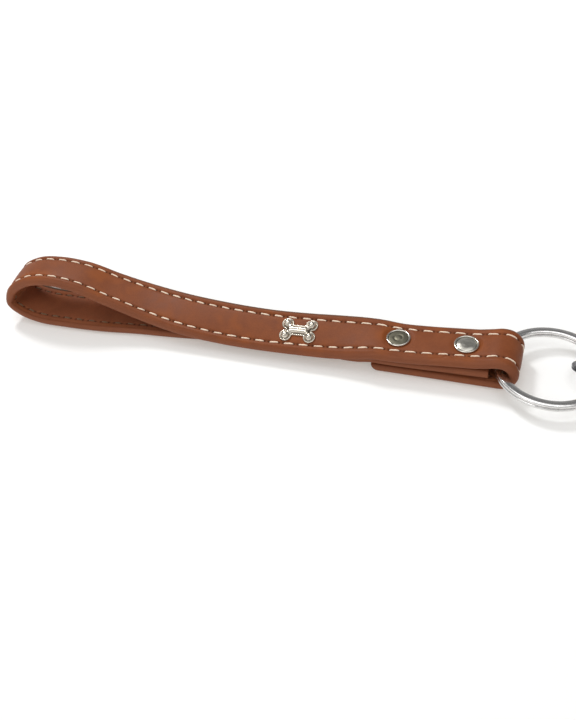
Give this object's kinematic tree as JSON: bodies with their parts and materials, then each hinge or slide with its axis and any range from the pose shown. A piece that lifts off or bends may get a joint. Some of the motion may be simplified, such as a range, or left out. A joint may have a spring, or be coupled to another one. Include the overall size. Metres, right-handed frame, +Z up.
{
  "type": "keychain",
  "caption": "Padded leather wrist-loop keychain: a stitched strap folded and riveted round a large split ring, with a bone-shaped metal stud and a small split ring.",
  "frame": {"origin": "on the surface the keychain lies on and on the strap's centre line, under the flat underside of the front rivet's back cap, 0.6 mm behind that rivet's axis", "axes": "+X along the strap towards the rings, +Y across the strap away from the viewer, +Z up from the surface it lies on"},
  "size_m": [0.2227, 0.0354, 0.0215],
  "materials": {
    "face_leather": "smooth grained face leather with a soft sheen, darker at the rolled edges",
    "core_board": "pressed fibre padding, hidden between face and lining",
    "lining_leather": "matt dark brown lining leather",
    "cream_thread": "thick waxed cream stitching thread",
    "brown_thread": "brown bobbin thread on the lining",
    "worn_nickel": "nickel plate, bright on the rim and worn grey in the middle",
    "plain_nickel": "plain nickel plate",
    "antique_pewter": "silver-grey cast metal, dark in the recesses and rubbed bright on the high spots",
    "ring_steel": "polished plated spring steel",
    "dark_steel": "dark oxidised spring steel"
  },
  "bodies": {
    "strap": {"strap_cover": "face_leather", "strap_core": "core_board", "strap_lining": "lining_leather", "face_thread_near": "cream_thread", "face_thread_far": "cream_thread", "back_thread_near": "brown_thread", "back_thread_far": "brown_thread", "front_rivet_cap": "worn_nickel", "front_rivet_post": "plain_nickel", "rear_rivet_cap": "worn_nickel", "rear_rivet_post": "plain_nickel", "bone_stud": "antique_pewter", "bone_stud_back": "plain_nickel"},
    "key_ring": {"split_ring": "ring_steel"},
    "small_ring": {"small_split_ring": "dark_steel"}
  },
  "joints": [
    {"name": "ring_swing", "type": "hinge", "parent": "strap", "child": "key_ring", "pos_m": [0.012, 0, 0.00625], "axis": [0, -1, 0], "range_deg": [-130, 140]},
    {"name": "small_ring_slide", "type": "hinge", "parent": "key_ring", "child": "small_ring", "pos_m": [0.0271, 0, 0.00533], "axis": [0.061, 0, 0.9981], "range_deg": [-100, 70]}
  ]
}
